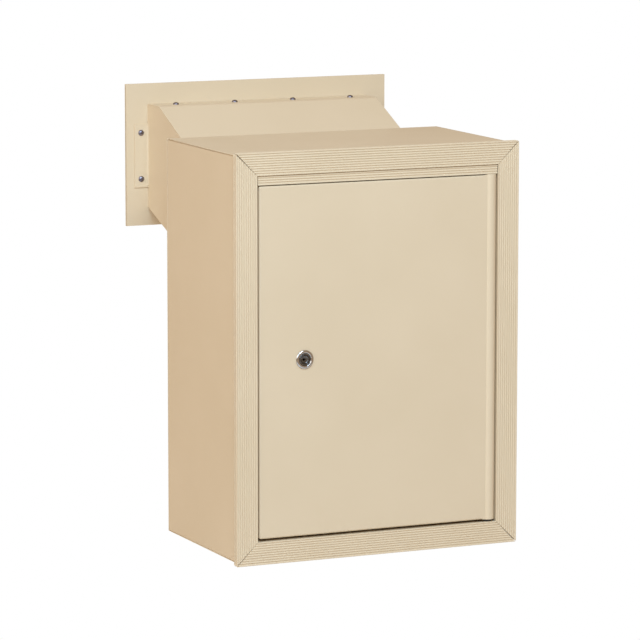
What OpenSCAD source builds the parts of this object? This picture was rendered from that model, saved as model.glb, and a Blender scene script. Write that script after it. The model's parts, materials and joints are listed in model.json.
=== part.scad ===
// Through-wall parcel drop: an indoor locker with a hinged, cam-locked door, and a
// chute that climbs through the wall to an outdoor plate with a lifting flap.
// +X is to the right and +Y into the wall as one faces the door, and +Z is up.
// The origin is the centre of the locker's back, which lies on the indoor wall.

/* [Door frame] */
// Width over the door frame
frame_w = 364; // [300:1:440]
// Height over the door frame
frame_h = 483; // [400:1:600]
// Depth from the frame's face to the wall
unit_depth = 218; // [160:1:300]
// Width of the frame's fluted face
member_w = 27; // [26:0.5:32]
// Thickness of the frame's face
face_t = 3; // [2:0.5:4]
// Thickness of the frame's rim and jamb
leg_t = 3; // [2:0.5:4]
// Depth of the rim round the outside of the frame
rim_depth = 9; // [7:0.5:9.5]
// Depth of the jamb round the door opening
jamb_depth = 16; // [15.5:0.5:20]
// Width of the stop lip on the latch side
lip_w = 6; // [4:0.5:8]
// Thickness of the stop lip
lip_t = 2; // [1:0.5:2]
// Number of flutes in the face
flute_count = 9; // [3:1:9]
// Distance between flutes
flute_pitch = 2.8; // [2.2:0.1:2.8]
// Distance from the outer edge to the first flute
flute_edge = 2.3; // [1.5:0.1:2.6]
// Radius of a flute
flute_r = 0.8; // [0.4:0.1:0.9]
// Gap in each mitred corner
mitre_gap = 0.5; // [0.1:0.1:0.8]

/* [Header strip] */
// Height of the strip above the door
header_h = 10; // [8:0.5:16]
// Gap above the strip
header_gap = 1; // [0.5:0.1:2]
// How far the strip sits back from the frame's face
header_recess = 1; // [0.5:0.1:1.5]
// Thickness of the strip
header_t = 1.5; // [1:0.1:1.5]

/* [Locker] */
// How far the frame overhangs the locker on every side
overhang = 3; // [2:0.5:4.5]
// Thickness of the locker's sheet metal
sheet_t = 1.5; // [1:0.1:2]
// Width of the sheets' folded flanges
flange_w = 12; // [10:0.5:15]
// Seam gap between the side sheets and the top and bottom sheets
seam = 0.6; // [0.3:0.1:1]
// Distance of the wall screws from the locker's sides
wall_screw_inset = 23; // [20:0.5:26]
// Distance of the wall screws from the locker's top and bottom
wall_screw_drop = 48.5; // [30:0.5:60]
// Radius of the wall screw holes
wall_hole_r = 3.5; // [2:0.1:4]

/* [Door] */
// Gap at the latch side of the door
door_gap = 2.3; // [1.5:0.1:3]
// Gap below the door
door_bottom_gap = 3.1; // [2.5:0.1:6]
// Gap between the door and the strip above it
door_top_gap = 1; // [0.8:0.1:2]
// How far the door sits back from the frame's face
door_recess = 1.5; // [1:0.1:1.5]
// Thickness of the door's skin
door_t = 2; // [1.5:0.1:2]
// Depth of the door's folded edges
door_fold = 12; // [8:0.5:12]
// Outer radius of the rolled hinge edge
roll_r = 8; // [7.5:0.1:8.5]
// How far the rolled edge stands out past the frame's face
roll_proud = 0.5; // [0.3:0.1:0.6]
// How far the rolled edge runs past the bottom of the door's skin
roll_over = 0.3; // [0.2:0.1:2]
// Gap between the rolled edge and the hinge-side jamb
hinge_gap = 0.5; // [0.4:0.1:2]
// Radius of the hinge rod
rod_r = 3; // [2.5:0.1:3.5]
// Running clearance on the hinge rod
run_play = 0.05; // [0.03:0.01:0.09]
// Space left where one piece stops just short of another
near_gap = 0.3; // [0.2:0.05:0.4]

/* [Lock] */
// Distance from the door's latch edge to the lock's axis
lock_inset = 57.5; // [40:0.5:70]
// Distance of the lock below the middle of the frame
lock_drop = 2.5; // [-100:0.5:100]
// Radius of the lock's bezel
bezel_r = 11.1; // [10.5:0.1:13]
// How far the bezel stands out from the door
bezel_t = 2; // [1:0.1:3]
// Radius of the lock's body
lock_body_r = 9.5; // [8.5:0.1:10]
// Radius of the lock's plug
plug_r = 6.5; // [5.5:0.1:7]
// Width of the cam
cam_w = 14; // [12:0.5:18]
// Thickness of the cam
cam_t = 3; // [2:0.5:4]
// Play between the cam and the back of the stop lip
cam_play = 0.5; // [0.3:0.1:0.7]
// How far the cam reaches past the jamb's inner face
cam_reach = 1.5; // [0:0.5:2.5]

/* [Chute] */
// Distance of the chute's sides from the frame's outer edges
chute_inset = 35.5; // [32:0.5:60]
// Thickness of the chute's sheet metal
chute_t = 1.5; // [1:0.1:2]
// Thickness of the wall between the locker and the outdoor plate
wall_t = 141; // [100:1:200]
// Depth of the level ledge at the outdoor plate
ledge_d = 37; // [28:1:50]
// Height of the chute at the outdoor plate
throat_h = 127.5; // [115:0.5:180]
// Slope of the chute's roof, in degrees
roof_angle = 24.5; // [15:0.5:30]
// Slope of the chute's floor, in degrees
floor_angle = 20.5; // [15:0.5:30]
// How far the chute reaches into the locker
chute_reach = 10; // [5:1:25]
// Clearance round the chute in the locker's back
chute_play = 0.4; // [0.3:0.1:0.6]
// Depth behind the locker over which the roof stays inside its opening
chute_lead = 3; // [2:0.5:5]
// Length of the tabs that hold the chute to the plate
tab_h = 78; // [70:1:90]
// Width of those tabs
tab_w = 18; // [14:1:20]
// Distance between the two screws of a tab
tab_screw_pitch = 57; // [45:1:64]
// Distance of the end screws of the ledge from the chute's sides
ledge_screw_end = 29; // [20:1:40]
// Number of screws along the ledge
ledge_screws_n = 4; // [2:1:6]
// Radius of the small screws
screw_r = 2; // [1.5:0.1:2.5]
// Play of a screw in its hole
screw_play = 0.1; // [0.05:0.05:0.3]

/* [Outdoor plate] */
// How far the plate rises above the frame's top
plate_rise = 50; // [30:1:60]
// Height of the plate
plate_h = 175; // [165:1:220]
// Distance of the plate's ends from the frame's outer edges
plate_inset = 7; // [0:1:10]
// Thickness of the plate
plate_t = 4; // [4:0.5:6]
// Distance from the plate's top to the chute's ledge
ledge_drop = 25; // [24:1:35]
// Height of the intake slot
slot_h = 95; // [60:1:95]
// Distance of the slot's ends from the chute's sides
slot_inset = 7; // [5:1:20]
// Thickness of the mounting angle under the ledge
angle_t = 2; // [1.5:0.5:3]
// Height of the mounting angle
angle_h = 20; // [18:1:22]

/* [Intake flap] */
// Radius of the flap's hinge rod
flap_rod_r = 2; // [1.5:0.1:2.2]
// Outer radius of the flap's rolled edge
flap_roll_r = 4.5; // [4:0.1:5]
// Thickness of the flap's sheet metal
flap_t = 1.5; // [1:0.1:2]
// How far the pull lip stands out from the flap
pull_lip = 10; // [6:1:15]
// Thickness of the rubber seal round the slot
seal_t = 1.2; // [1:0.1:1.4]
// Width of the rubber seal
seal_w = 5; // [3:0.5:5]

/* [Hidden] */
$fn = 48;

sandstone = [0.85, 0.78, 0.66];
steel = [0.62, 0.63, 0.65];
bright = [0.85, 0.86, 0.88];
nylon = [0.06, 0.06, 0.06];
rubber = [0.12, 0.12, 0.12];

// The frame: u runs inwards from its outer edge, and depths run back from its face.
front_y = -unit_depth;
half_w = frame_w / 2;
half_h = frame_h / 2;
open_x = half_w - member_w;
open_z = half_h - member_w;
key_arm = 60;
key_screw_at = 45;
mid_channel = member_w / 2;

// The header strip and the door below it.
header_top = open_z - header_gap;
header_bottom = header_top - header_h;
header_drop = header_gap + header_t;
rivet_r = 1.6;
rivet_head_r = 3.2;
door_left = -open_x + door_gap;
door_bottom = -open_z + door_bottom_gap;
door_top = header_bottom - door_top_gap;
hinge_x = open_x - hinge_gap - roll_r;
hinge_y = front_y - roll_proud + roll_r;
roll_bottom = door_bottom - roll_over;
roll_top = header_bottom - near_gap;
door_fold_end = hinge_x - roll_r - 2;

// The locker's shell.
box_x = half_w - overhang;
box_z = half_h - overhang;
box_front = front_y + rim_depth;
inner_x = box_x - sheet_t;
inner_z = box_z - sheet_t;
front_flange = member_w - leg_t - overhang - 0.5;

// The hinge.
rod_bore_r = rod_r + run_play;
bushing_r = rod_r + 1;
bushing_flange_r = roll_r - roll_proud - header_recess - header_t - near_gap;
flange_t = 1.6;
rod_foot = -open_z - leg_t + near_gap;
bracket_z = roll_top + near_gap + flange_t;
bracket_t = 2;
bracket_leg_top = open_z - header_drop - near_gap;
rod_head = bracket_z + bracket_t + 3;

// The lock.
lock_x = door_left + lock_inset;
lock_z = -lock_drop;
door_back = door_recess + door_t;
cam_front = jamb_depth + cam_play;
lock_body_end = jamb_depth;
cam_l = lock_inset + door_gap + cam_reach;
hub_r = 9;
tang = 6;
nut_t = 4;
washer_t = 0.8;

// The chute: its side view is drawn in Y and Z.
chute_x = half_w - chute_inset;
chute_in_x = chute_x - chute_t;
plate_y = wall_t;
plate_top = half_h + plate_rise;
plate_bottom = plate_top - plate_h;
plate_x = half_w - plate_inset;
ledge_z = plate_top - ledge_drop;
fold_y = plate_y - ledge_d;
throat_z = ledge_z - throat_h;
roof_t = chute_t / cos(roof_angle);
floor_t = chute_t / cos(floor_angle);
bend_in = chute_t * tan(roof_angle / 2);
tab_mid = throat_z + throat_h / 2;
tab_screw_x = chute_x + tab_w / 2 + 0.5;
angle_z = ledge_z - chute_t - angle_t;
angle_foot = ledge_z - chute_t - angle_h;
ledge_screw_y = plate_y - ledge_d * 0.57;
slot_top = angle_foot - 3;
slot_x = chute_x - slot_inset;
slot_bottom = max(slot_top - slot_h, throat_z + 4);
blind = plate_t - 0.8;
small_screw_r = 1.5;
ear_base_t = 2;

// The flap, outside the plate.
plate_back = plate_y + plate_t;
flap_axis_y = plate_back + seal_t + near_gap + flap_roll_r;
flap_axis_z = plate_top - 20;
flap_x = chute_x + 2;
flap_skin_y = flap_axis_y + flap_roll_r - flap_t;
flap_bottom = slot_bottom - seal_w - 6;
flap_fold_y = plate_back + seal_t + near_gap;
fold_relief = 2;
ear_t = 3;
ear_x = flap_x + near_gap;

function roof_z(y) = ledge_z - (fold_y - y) * tan(roof_angle);
function floor_z(y) = throat_z - (plate_y - y) * tan(floor_angle);

module block(low, high) {
  translate(low) cube(high - low);
}

// An outline drawn in X and Z, from y0 back to y1.
module slab_y(y0, y1) {
  translate([0, y1, 0]) rotate([90, 0, 0]) linear_extrude(y1 - y0) children();
}

// An outline drawn in Y and Z, from x0 across to x1.
module slab_x(x0, x1) {
  translate([x0, 0, 0]) rotate([90, 0, 90]) linear_extrude(x1 - x0) children();
}

module both_sides() {
  children();
  mirror([1, 0, 0]) children();
}

// A pan-head screw with its head's underside at the origin and its shank along -Z.
module pan_screw(r, length, head_r, head_h) {
  difference() {
    union() {
      translate([0, 0, -length]) cylinder(r = r, h = length);
      intersection() {
        cylinder(r = head_r, h = head_h);
        translate([0, 0, head_h - head_r * 1.35]) sphere(r = head_r * 1.35);
      }
    }
    for (turn = [0, 90])
      rotate([0, 0, turn])
        translate([-head_r * 0.5, -head_r * 0.1, head_h * 0.45])
          cube([head_r, head_r * 0.2, head_h]);
  }
}

// ---------------------------------------------------------------- the door frame

module member_section(lip) {
  difference() {
    union() {
      square([member_w, face_t]);
      square([leg_t, rim_depth]);
      translate([member_w - leg_t, 0]) square([leg_t, jamb_depth]);
      if (lip)
        translate([member_w - leg_t, jamb_depth - lip_t]) square([leg_t + lip_w, lip_t]);
    }
    for (i = [0 : flute_count - 1])
      translate([flute_edge + i * flute_pitch, 0]) circle(r = flute_r);
  }
}

// One mitred member along X, with its outer edge at the bottom, half below the origin.
module member(length, half, lip) {
  reach = member_w + lip_w + 1;
  cut = mitre_gap / sqrt(2);
  end = length / 2 - cut;
  intersection() {
    translate([length / 2, front_y, -half]) rotate([0, -90, 0])
      linear_extrude(length) member_section(lip);
    slab_y(front_y - 1, front_y + jamb_depth + 1)
      polygon([[-end, -half], [end, -half], [end - reach, -half + reach],
               [-end + reach, -half + reach]]);
  }
}

module frame_top() {
  color(sandstone) difference() {
    rotate([0, 180, 0]) member(frame_w, half_h, false);
    header_rivet_places() cylinder(r = rivet_r + screw_play, h = 2 * leg_t + 1, center = true);
  }
}

module frame_bottom() {
  color(sandstone) difference() {
    member(frame_w, half_h, false);
    translate([hinge_x, hinge_y, -open_z - leg_t - 1])
      cylinder(r = bushing_r, h = leg_t + 2);
  }
}

module frame_left() {
  color(sandstone) rotate([0, 90, 0]) member(frame_h, half_w, true);
}

module frame_right() {
  color(sandstone) difference() {
    rotate([0, -90, 0]) member(frame_h, half_w, false);
    bracket_screw_places()
      cylinder(r = small_screw_r + screw_play / 2, h = 2 * leg_t + 1, center = true);
  }
}

// The four corners, each with its own corner at the origin and its arms inwards.
module at_corners() {
  for (sx = [-1, 1], sz = [-1, 1])
    translate([sx * half_w, 0, sz * half_h])
      mirror([sx > 0 ? 1 : 0, 0, 0]) mirror([0, 0, sz > 0 ? 1 : 0]) children();
}

module corner_screw_places() {
  at_corners() {
    translate([key_screw_at, 0, mid_channel]) rotate([-90, 0, 0]) children();
    translate([mid_channel, 0, key_screw_at]) rotate([-90, 0, 0]) children();
  }
}

module corner_keys() {
  color(steel) difference() {
    at_corners() slab_y(front_y + face_t, box_front) {
      translate([leg_t, leg_t]) square([key_arm - leg_t, member_w - 2 * leg_t]);
      translate([leg_t, leg_t]) square([member_w - 2 * leg_t, key_arm - leg_t]);
    }
    corner_screw_places()
      translate([0, 0, front_y + face_t - 1]) cylinder(r = screw_r + screw_play / 2, h = rim_depth);
  }
}

module frame_screws() {
  color(steel) corner_screw_places()
    translate([0, 0, box_front + sheet_t]) pan_screw(screw_r, 6, 3.8, 2.4);
}

// ---------------------------------------------------------------- the header strip

module header_rivet_places() {
  for (i = [-1 : 1])
    translate([i * (open_x - 40), front_y + header_recess + header_t + rivet_head_r + 0.5, open_z])
      children();
}

module header_strip() {
  front = front_y + header_recess;
  foot = front_y + jamb_depth - lip_t - near_gap;
  strip_x = open_x - 1;
  color(sandstone) difference() {
    union() {
      block([-strip_x, front, header_bottom], [strip_x, front + header_t, header_top]);
      block([-strip_x, front, header_top - header_t],
            [strip_x, front + 2 * header_t, header_top]);
      block([-strip_x, front + header_t, header_top - header_t], [strip_x, foot, open_z]);
    }
    for (i = [-1 : 1])
      translate([-strip_x - 1, front, (header_top + header_bottom) / 2 + i * flute_pitch])
        rotate([0, 90, 0]) cylinder(r = flute_r, h = 2 * strip_x + 2);
    header_rivet_places() cylinder(r = rivet_r + screw_play, h = 20, center = true);
  }
}

module header_rivets() {
  color(steel) header_rivet_places() {
    translate([0, 0, -header_drop - 1.1]) cylinder(r = rivet_head_r, h = 1.1);
    translate([0, 0, -header_drop - 0.5]) cylinder(r = rivet_r, h = header_drop + leg_t + 1);
    translate([0, 0, leg_t]) cylinder(r = rivet_r + 0.7, h = 1);
  }
}

// ---------------------------------------------------------------- the locker's shell

module corner_clearance_holes() {
  corner_screw_places()
    translate([0, 0, box_front - 1]) cylinder(r = screw_r + screw_play, h = sheet_t + 2);
}

// A side sheet: its skin, and flanges folded inwards along all four edges.
module side_panel() {
  difference() {
    union() {
      block([-box_x, box_front, -box_z], [-inner_x, -sheet_t, box_z]);
      block([-box_x, box_front, -box_z],
            [-box_x + front_flange, box_front + sheet_t, box_z]);
      block([-box_x, -2 * sheet_t, -box_z], [-box_x + flange_w, -sheet_t, box_z]);
      for (s = [-1, 1])
        translate([0, 0, s * (inner_z - sheet_t / 2)])
          block([-box_x, box_front + flange_w, -sheet_t / 2],
                [-box_x + flange_w, -sheet_t, sheet_t / 2]);
    }
    corner_clearance_holes();
    for (s = [-1, 1])
      translate([0, 0, s * (box_z - sheet_t / 2)])
        block([-inner_x, box_front - 1, -sheet_t / 2 - near_gap],
              [0, 0, sheet_t / 2 + 1]);
  }
}

module left_side_panel() {
  color(sandstone) side_panel();
}

module right_side_panel() {
  color(sandstone) mirror([1, 0, 0]) side_panel();
}

// The top or bottom sheet: its skin between the side skins, and two folded flanges.
module end_panel() {
  skin_x = inner_x - seam;
  fold_x = box_x - front_flange - seam;
  difference() {
    union() {
      block([-skin_x, box_front, inner_z], [skin_x, -sheet_t, box_z]);
      block([-fold_x, box_front, box_z - front_flange],
            [fold_x, box_front + sheet_t, inner_z + 0.01]);
      block([-fold_x, -2 * sheet_t, box_z - flange_w], [fold_x, -sheet_t, inner_z + 0.01]);
    }
    corner_clearance_holes();
  }
}

module top_panel() {
  color(sandstone) end_panel();
}

module bottom_panel() {
  color(sandstone) mirror([0, 0, 1]) end_panel();
}

module back_panel() {
  open_half = chute_x + chute_play;
  color(sandstone) difference() {
    block([-box_x, -sheet_t, -box_z], [box_x, 0, box_z]);
    block([-open_half, -sheet_t - 1, floor_z(-sheet_t) - near_gap],
          [open_half, 1, roof_z(chute_lead) + near_gap]);
    for (sx = [-1, 1], sz = [-1, 1])
      translate([sx * (box_x - wall_screw_inset), 0, sz * (box_z - wall_screw_drop)])
        rotate([90, 0, 0]) cylinder(r = wall_hole_r, h = 3 * sheet_t, center = true);
  }
}

// ---------------------------------------------------------------- the door and its hinge

module door_panel() {
  skin_y = front_y + door_recess;
  fold_y1 = skin_y + door_fold;
  color(sandstone) difference() {
    union() {
      block([door_left, skin_y, door_bottom], [hinge_x, skin_y + door_t, door_top]);
      block([door_left, skin_y, door_bottom], [door_left + door_t, fold_y1, door_top]);
      block([door_left, skin_y, door_bottom],
            [door_fold_end, fold_y1, door_bottom + door_t]);
      block([door_left, skin_y, door_top - door_t], [door_fold_end, fold_y1, door_top]);
      translate([hinge_x, hinge_y, roll_bottom]) cylinder(r = roll_r, h = roll_top - roll_bottom);
    }
    translate([hinge_x, hinge_y, roll_bottom - 1])
      cylinder(r = rod_bore_r, h = roll_top - roll_bottom + 2);
    lock_place() cylinder(r = lock_body_r + screw_play, h = door_back + 1);
  }
}

module hinge_rod() {
  color(steel) translate([hinge_x, hinge_y, rod_foot]) cylinder(r = rod_r, h = rod_head - rod_foot);
}

// A flanged sleeve on the hinge rod, whose flange lies against one end of its neck.
module bushing(flange_low, flange_high, neck_low, neck_high) {
  low = min(flange_low, neck_low);
  high = max(flange_high, neck_high);
  translate([hinge_x, hinge_y, 0]) difference() {
    union() {
      translate([0, 0, flange_low])
        cylinder(r = bushing_flange_r, h = flange_high - flange_low);
      translate([0, 0, low]) cylinder(r = bushing_r - screw_play / 2, h = high - low);
    }
    translate([0, 0, low - 1]) cylinder(r = rod_bore_r, h = high - low + 2);
  }
}

module hinge_bushings() {
  color(nylon) {
    bushing(-open_z, roll_bottom - near_gap, -open_z - leg_t, -open_z);
    bushing(roll_top + near_gap, bracket_z, bracket_z, bracket_z + bracket_t);
  }
}

module rod_retainer() {
  color(steel) translate([hinge_x, hinge_y, bracket_z + bracket_t]) difference() {
    cylinder(r = bushing_flange_r, h = 1.2);
    translate([0, 0, -1]) cylinder(r = rod_r + 0.02, h = 4);
  }
}

module bracket_screw_places() {
  translate([open_x, front_y + jamb_depth - 3.5, (bracket_z + bracket_t + bracket_leg_top) / 2])
    rotate([0, -90, 0]) children();
}

module top_hinge_bracket() {
  front = front_y + header_recess + header_t + near_gap;
  back = front_y + jamb_depth;
  color(steel) difference() {
    union() {
      block([hinge_x - roll_r, front, bracket_z], [open_x, back, bracket_z + bracket_t]);
      block([open_x - bracket_t, front, bracket_z], [open_x, back, bracket_leg_top]);
    }
    translate([hinge_x, hinge_y, bracket_z - 1]) cylinder(r = bushing_r, h = bracket_t + 2);
    bracket_screw_places()
      cylinder(r = small_screw_r + screw_play, h = 3 * bracket_t, center = true);
  }
}

module bracket_screws() {
  color(steel) bracket_screw_places()
    translate([0, 0, bracket_t]) pan_screw(small_screw_r, bracket_t + leg_t, 2.2, 1.4);
}

// ---------------------------------------------------------------- the lock

// The lock's axis: local Z runs back from the frame's face.
module lock_place() {
  translate([lock_x, front_y, lock_z]) rotate([-90, 0, 0]) children();
}

module lock_housing() {
  rim = 0.6;
  color(bright) lock_place() rotate_extrude() polygon([
    [plug_r + run_play, door_recess - bezel_t + rim],
    [bezel_r - 3, door_recess - bezel_t],
    [bezel_r - rim, door_recess - bezel_t],
    [bezel_r, door_recess - bezel_t + rim],
    [bezel_r, door_recess],
    [lock_body_r, door_recess],
    [lock_body_r, lock_body_end],
    [plug_r + run_play, lock_body_end]
  ]);
}

module lock_nut() {
  color(steel) lock_place() translate([0, 0, door_back]) difference() {
    cylinder(r = 14, h = nut_t, $fn = 6);
    translate([0, 0, -1]) cylinder(r = lock_body_r + screw_play / 2, h = nut_t + 2);
  }
}

module lock_plug() {
  front = door_recess - bezel_t + 0.6;
  color(bright) lock_place() difference() {
    union() {
      translate([0, 0, front]) cylinder(r = plug_r, h = lock_body_end - front);
      translate([0, 0, lock_body_end - 0.01])
        linear_extrude(cam_front + cam_t - lock_body_end - 0.09) square(tang, center = true);
    }
    translate([-0.7, -4, front - 1]) cube([1.4, 8, 9]);
    translate([-1.6, 0, front - 1]) cube([2.3, 1.8, 9]);
    translate([0, 0, lock_body_end - 5]) cylinder(r = small_screw_r + screw_play / 2, h = 20);
  }
}

module lock_cam() {
  color(steel) lock_place() translate([0, 0, cam_front]) linear_extrude(cam_t) difference() {
    union() {
      circle(r = hub_r);
      translate([-cam_w / 2, 0]) square([cam_w, cam_l - 3]);
      translate([-cam_w / 2 + 3, 0]) square([cam_w - 6, cam_l]);
      for (s = [-1, 1])
        translate([s * (cam_w / 2 - 3), cam_l - 3]) circle(r = 3);
    }
    square(tang + 2 * screw_play, center = true);
  }
}

module cam_washer() {
  color(steel) lock_place() translate([0, 0, cam_front + cam_t]) difference() {
    cylinder(r = 6, h = washer_t);
    translate([0, 0, -1]) cylinder(r = small_screw_r + screw_play, h = washer_t + 2);
  }
}

module cam_screw() {
  color(steel) lock_place()
    translate([0, 0, cam_front + cam_t + washer_t]) pan_screw(small_screw_r, 7, 3, 2);
}

// ---------------------------------------------------------------- the chute

// The chute's side view below its roof sheet, drawn in Y and Z.
module side_view() {
  polygon([
    [plate_y, throat_z], [plate_y, ledge_z - chute_t], [fold_y + bend_in, ledge_z - chute_t],
    [-chute_reach, roof_z(-chute_reach) - roof_t], [-chute_reach, floor_z(-chute_reach)]
  ]);
}

// A strip as thick as the roof sheet, a given number of sheets below its upper face.
module roof_strip(y_end, sheets) {
  drop = sheets * roof_t;
  polygon([
    [y_end, roof_z(y_end) - drop], [-chute_reach, roof_z(-chute_reach) - drop],
    [-chute_reach, roof_z(-chute_reach) - drop - roof_t], [y_end, roof_z(y_end) - drop - roof_t]
  ]);
}

module chute_roof() {
  color(sandstone) difference() {
    slab_x(-chute_x, chute_x) polygon([
      [plate_y, ledge_z], [fold_y, ledge_z], [-chute_reach, roof_z(-chute_reach)],
      [-chute_reach, roof_z(-chute_reach) - roof_t], [fold_y + bend_in, ledge_z - chute_t],
      [plate_y, ledge_z - chute_t]
    ]);
    ledge_screw_places() cylinder(r = screw_r + screw_play, h = 10, center = true);
  }
}

module tab_screw_places() {
  for (s = [-1, 1])
    translate([-tab_screw_x, plate_y - chute_t, tab_mid + s * tab_screw_pitch / 2])
      rotate([90, 0, 0]) children();
}

module chute_side() {
  difference() {
    union() {
      slab_x(-chute_x, -chute_in_x) side_view();
      slab_x(-chute_in_x - 0.01, -chute_in_x + 10) roof_strip(fold_y - 4, 1);
      block([-chute_x - tab_w, plate_y - chute_t, tab_mid - tab_h / 2],
            [-chute_in_x, plate_y, tab_mid + tab_h / 2]);
    }
    tab_screw_places() cylinder(r = screw_r + screw_play, h = 10, center = true);
  }
}

module chute_left_side() {
  color(sandstone) chute_side();
}

module chute_right_side() {
  color(sandstone) mirror([1, 0, 0]) chute_side();
}

module chute_floor() {
  y_end = plate_y - chute_t;
  color(sandstone) {
    slab_x(-chute_in_x, chute_in_x) polygon([
      [y_end, floor_z(y_end)], [y_end, floor_z(y_end) + floor_t],
      [-chute_reach, floor_z(-chute_reach) + floor_t], [-chute_reach, floor_z(-chute_reach)]
    ]);
    both_sides() slab_x(-chute_in_x, -chute_in_x + chute_t) polygon([
      [y_end, floor_z(y_end)], [y_end, floor_z(y_end) + 10],
      [-chute_reach, floor_z(-chute_reach) + 10], [-chute_reach, floor_z(-chute_reach)]
    ]);
  }
}

// ---------------------------------------------------------------- what joins it to the plate

module ledge_screw_places() {
  pitch = 2 * (chute_x - ledge_screw_end) / (ledge_screws_n - 1);
  for (i = [0 : ledge_screws_n - 1])
    translate([-chute_x + ledge_screw_end + i * pitch, ledge_screw_y, ledge_z]) children();
}

module angle_screw_places() {
  for (s = [-1, 0, 1])
    translate([s * (chute_x - 40), plate_y - angle_t, (angle_foot + angle_z) / 2])
      rotate([90, 0, 0]) children();
}

module mounting_angle() {
  end_x = chute_in_x - near_gap;
  color(steel) difference() {
    union() {
      block([-end_x, fold_y + 5, angle_z], [end_x, plate_y, ledge_z - chute_t]);
      block([-end_x, plate_y - angle_t, angle_foot], [end_x, plate_y, ledge_z - chute_t]);
    }
    ledge_screw_places() cylinder(r = screw_r + screw_play / 2, h = 20, center = true);
    angle_screw_places() cylinder(r = screw_r + screw_play, h = 10, center = true);
  }
}

module ledge_screws() {
  color(steel) ledge_screw_places() pan_screw(screw_r, 8, 3.7, 2.8);
}

module tab_screws() {
  color(steel) both_sides() tab_screw_places()
    pan_screw(screw_r, chute_t + blind - near_gap, 3.6, 2.4);
}

module angle_screws() {
  color(steel) angle_screw_places()
    pan_screw(screw_r, angle_t + blind - near_gap, 3.8, 2.4);
}

// ---------------------------------------------------------------- the outdoor plate and flap

module flap_screw_places() {
  both_sides()
    for (s = [-1, 1])
      translate([-ear_x - ear_t - 7, plate_back + ear_base_t, flap_axis_z + s * 6])
        rotate([-90, 0, 0]) children();
}

module wall_plate() {
  color(sandstone) difference() {
    block([-plate_x, plate_y, plate_bottom], [plate_x, plate_back, plate_top]);
    block([-slot_x, plate_y - 1, slot_bottom], [slot_x, plate_back + 1, slot_top]);
    both_sides() tab_screw_places()
      translate([0, 0, -chute_t - blind]) cylinder(r = screw_r + screw_play / 2, h = blind + 1);
    angle_screw_places()
      translate([0, 0, -angle_t - blind]) cylinder(r = screw_r + screw_play / 2, h = blind + 1);
    flap_screw_places()
      translate([0, 0, -ear_base_t - blind])
        cylinder(r = small_screw_r + screw_play / 2, h = blind + 1);
  }
}

module slot_seal() {
  color(rubber) slab_y(plate_back, plate_back + seal_t) difference() {
    translate([-slot_x - seal_w, slot_bottom - seal_w])
      square([2 * (slot_x + seal_w), slot_top - slot_bottom + 2 * seal_w]);
    translate([-slot_x, slot_bottom]) square([2 * slot_x, slot_top - slot_bottom]);
  }
}

module intake_flap() {
  color(sandstone) difference() {
    union() {
      block([-flap_x, flap_skin_y, flap_bottom], [flap_x, flap_skin_y + flap_t, flap_axis_z]);
      both_sides()
        block([-flap_x, flap_fold_y, flap_bottom],
              [-flap_x + flap_t, flap_skin_y + flap_t, flap_axis_z - flap_roll_r - fold_relief]);
      block([-flap_x, flap_fold_y, flap_bottom],
            [flap_x, flap_skin_y + flap_t + pull_lip, flap_bottom + flap_t]);
      translate([-flap_x, flap_axis_y, flap_axis_z]) rotate([0, 90, 0])
        cylinder(r = flap_roll_r, h = 2 * flap_x);
    }
    translate([-flap_x - 1, flap_axis_y, flap_axis_z]) rotate([0, 90, 0])
      cylinder(r = flap_rod_r + run_play, h = 2 * flap_x + 2);
  }
}

module flap_hinge_rod() {
  shank = ear_x + ear_t;
  color(steel) translate([0, flap_axis_y, flap_axis_z]) rotate([0, 90, 0]) {
    cylinder(r = flap_rod_r, h = 2 * shank + 1, center = true);
    for (s = [-1, 1])
      translate([0, 0, s * (shank + 1)]) cylinder(r = flap_rod_r + 1.2, h = 2 - near_gap, center = true);
  }
}

module flap_brackets() {
  color(sandstone) both_sides() difference() {
    union() {
      block([-ear_x - ear_t, plate_back, flap_axis_z - 11],
            [-ear_x, flap_axis_y, flap_axis_z + 11]);
      block([-ear_x - ear_t - 14, plate_back, flap_axis_z - 11],
            [-ear_x, plate_back + ear_base_t, flap_axis_z + 11]);
      translate([-ear_x - ear_t, flap_axis_y, flap_axis_z]) rotate([0, 90, 0])
        cylinder(r = 5, h = ear_t);
    }
    translate([-ear_x - ear_t - 1, flap_axis_y, flap_axis_z]) rotate([0, 90, 0])
      cylinder(r = flap_rod_r + run_play, h = ear_t + 2);
    flap_screw_places() cylinder(r = small_screw_r + screw_play, h = 10, center = true);
  }
}

module flap_bracket_screws() {
  color(steel) flap_screw_places()
    pan_screw(small_screw_r, ear_base_t + blind - near_gap, 2.8, 1.8);
}

frame_top();
frame_bottom();
frame_left();
frame_right();
corner_keys();
frame_screws();
header_strip();
header_rivets();
left_side_panel();
right_side_panel();
top_panel();
bottom_panel();
back_panel();
door_panel();
hinge_rod();
hinge_bushings();
rod_retainer();
top_hinge_bracket();
bracket_screws();
lock_housing();
lock_nut();
lock_plug();
lock_cam();
cam_washer();
cam_screw();
chute_roof();
chute_left_side();
chute_right_side();
chute_floor();
mounting_angle();
ledge_screws();
tab_screws();
angle_screws();
wall_plate();
slot_seal();
intake_flap();
flap_hinge_rod();
flap_brackets();
flap_bracket_screws();
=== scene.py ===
# %% [markdown]
# # A through-wall parcel drop
# The object is a sheet-metal locker that hangs on an indoor wall. A chute climbs from its
# back through the wall to an outdoor plate, where a flap covers the intake slot. The frame
# file already holds every piece at its true size and place, with the joints, so this lesson
# only gives the pieces their real surfaces: rolled edges, bends, flutes, screws and paint.

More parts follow.
